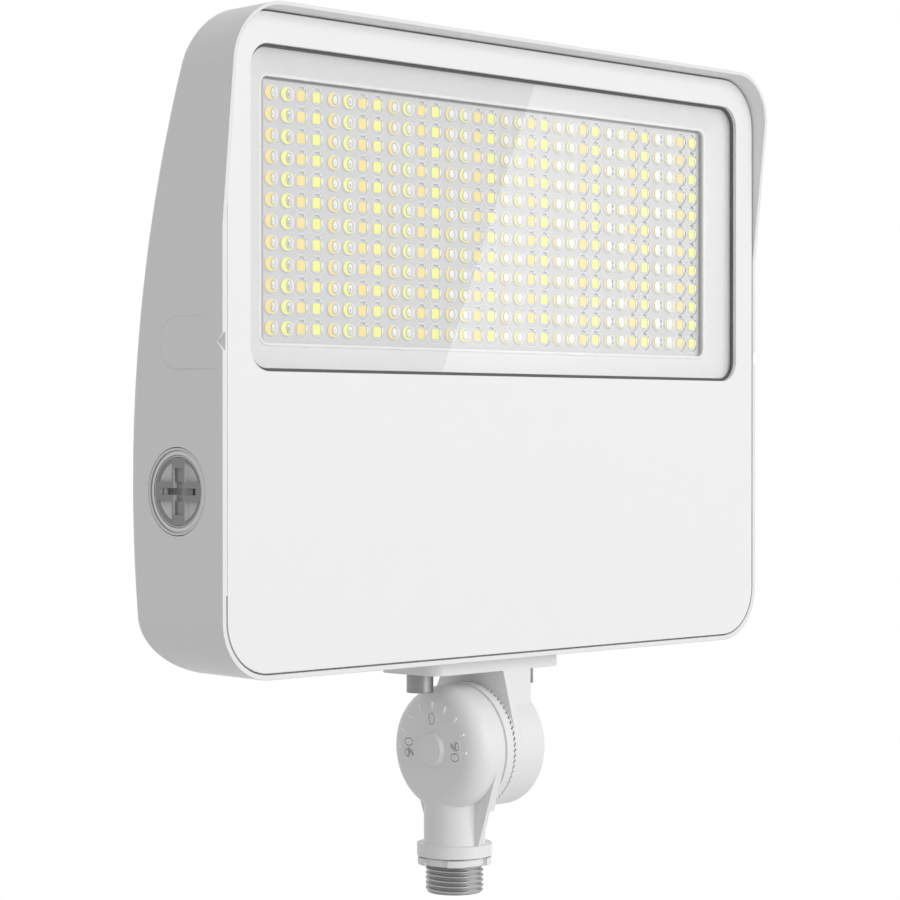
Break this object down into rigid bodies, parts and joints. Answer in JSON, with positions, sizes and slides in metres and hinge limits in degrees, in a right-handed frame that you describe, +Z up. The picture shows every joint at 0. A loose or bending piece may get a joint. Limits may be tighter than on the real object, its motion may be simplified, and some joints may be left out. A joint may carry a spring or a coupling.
{
  "type": "led flood light",
  "caption": "Rectangular LED flood light with a hooded front, a wide window over rows of LEDs and a toothed tilting knuckle on a threaded pipe nipple.",
  "frame": {"origin": "on the threaded nipple's axis, at the locknut's underside", "axes": "+X to the lamp's left when standing behind it and looking the way it shines, +Y to the rear, +Z up; the lamp faces -Y"},
  "size_m": [0.2797, 0.0551, 0.3061],
  "materials": {
    "housing_paint": "satin",
    "cover_paint": "satin",
    "clear_glass": "polished",
    "grey_rubber": "matte",
    "steel": "satin",
    "bare_metal": "machined",
    "white_plastic": "matte",
    "grey_plastic": "satin",
    "black_plastic": "matte",
    "lens_plastic": "polished",
    "board_white": "satin",
    "board_green": "satin",
    "led_warm": "satin",
    "led_cool": "satin",
    "case_metal": "satin"
  },
  "bodies": {
    "arm": {"lower_arm": "housing_paint", "nipple": "bare_metal", "seal_washer": "grey_rubber", "pivot_bolt": "steel", "pivot_washer": "steel", "knuckle_seal": "grey_rubber"},
    "nut": {"locknut": "housing_paint"},
    "head": {"rear_housing": "housing_paint", "front_cover": "cover_paint", "glass_gasket": "grey_rubber", "glass_lens": "clear_glass", "cover_gasket": "grey_rubber", "cover_screws": "steel", "reflector_frame": "white_plastic", "lens_plate": "lens_plastic", "led_board": "board_white", "board_screws": "steel", "leds_warm": "led_warm", "leds_cool": "led_cool", "driver": "case_metal", "driver_screws": "steel", "plug_ring": "grey_rubber", "selector_board": "board_green", "selector_screws": "steel", "switch_bodies": "black_plastic", "flange_gasket": "grey_rubber", "wire_bushing": "grey_rubber", "bracket_bolts": "steel", "bracket": "housing_paint"},
    "plug": {"side_plug": "grey_plastic"},
    "colour_switch": {"colour_slider": "white_plastic"},
    "power_switch": {"power_slider": "white_plastic"}
  },
  "joints": [
    {"name": "head_tilt", "type": "hinge", "parent": "arm", "child": "head", "pos_m": [0.0069, 0, 0.042], "axis": [1, 0, 0], "range_deg": [-90, 90]},
    {"name": "locknut_spin", "type": "hinge", "parent": "arm", "child": "nut", "pos_m": [0, 0, 0.00125], "axis": [0, 0, 1], "continuous": true},
    {"name": "plug_turn", "type": "hinge", "parent": "head", "child": "plug", "pos_m": [-0.1323, -0.0011, 0.1367], "axis": [-1, 0, 0], "range_deg": [0, 720]},
    {"name": "colour_select", "type": "slide", "parent": "head", "child": "colour_switch", "axis": [0, 0, 1], "range_m": [-0.002, 0.002]},
    {"name": "power_select", "type": "slide", "parent": "head", "child": "power_switch", "axis": [0, 0, 1], "range_m": [-0.002, 0.002]}
  ]
}
